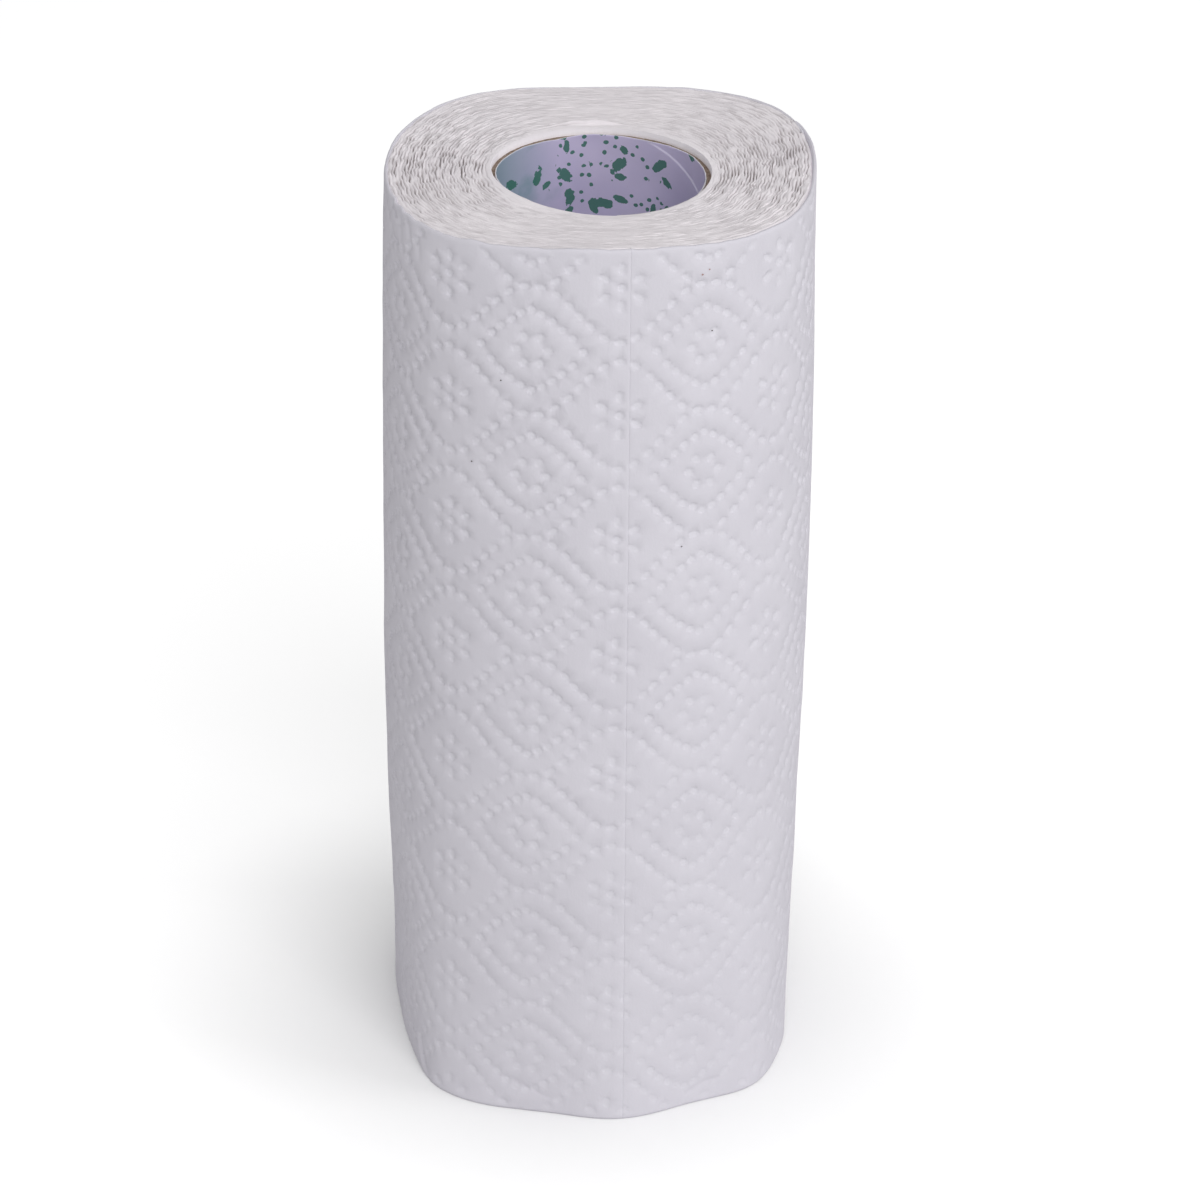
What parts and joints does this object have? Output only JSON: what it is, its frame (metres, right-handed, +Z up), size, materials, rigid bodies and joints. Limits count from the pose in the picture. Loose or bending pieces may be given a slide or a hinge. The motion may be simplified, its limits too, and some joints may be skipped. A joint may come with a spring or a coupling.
{
  "type": "paper towel roll",
  "caption": "Upright roll of embossed paper towels, squeezed to a rounded square, wound on a board core with a printed lining.",
  "frame": {"origin": "middle of the flat end that the roll stands on", "axes": "+Z up along the core, -Y towards the side with the row of perforations, +X to that side's right"},
  "size_m": [0.0989, 0.101, 0.22],
  "materials": {
    "towel_paper": "matt embossed tissue",
    "core_board": "matt brown board",
    "lining_paper": "smooth printed paper"
  },
  "bodies": {
    "root": {"paper_roll": "towel_paper", "core_tube": "core_board", "core_lining": "lining_paper"}
  },
  "joints": []
}
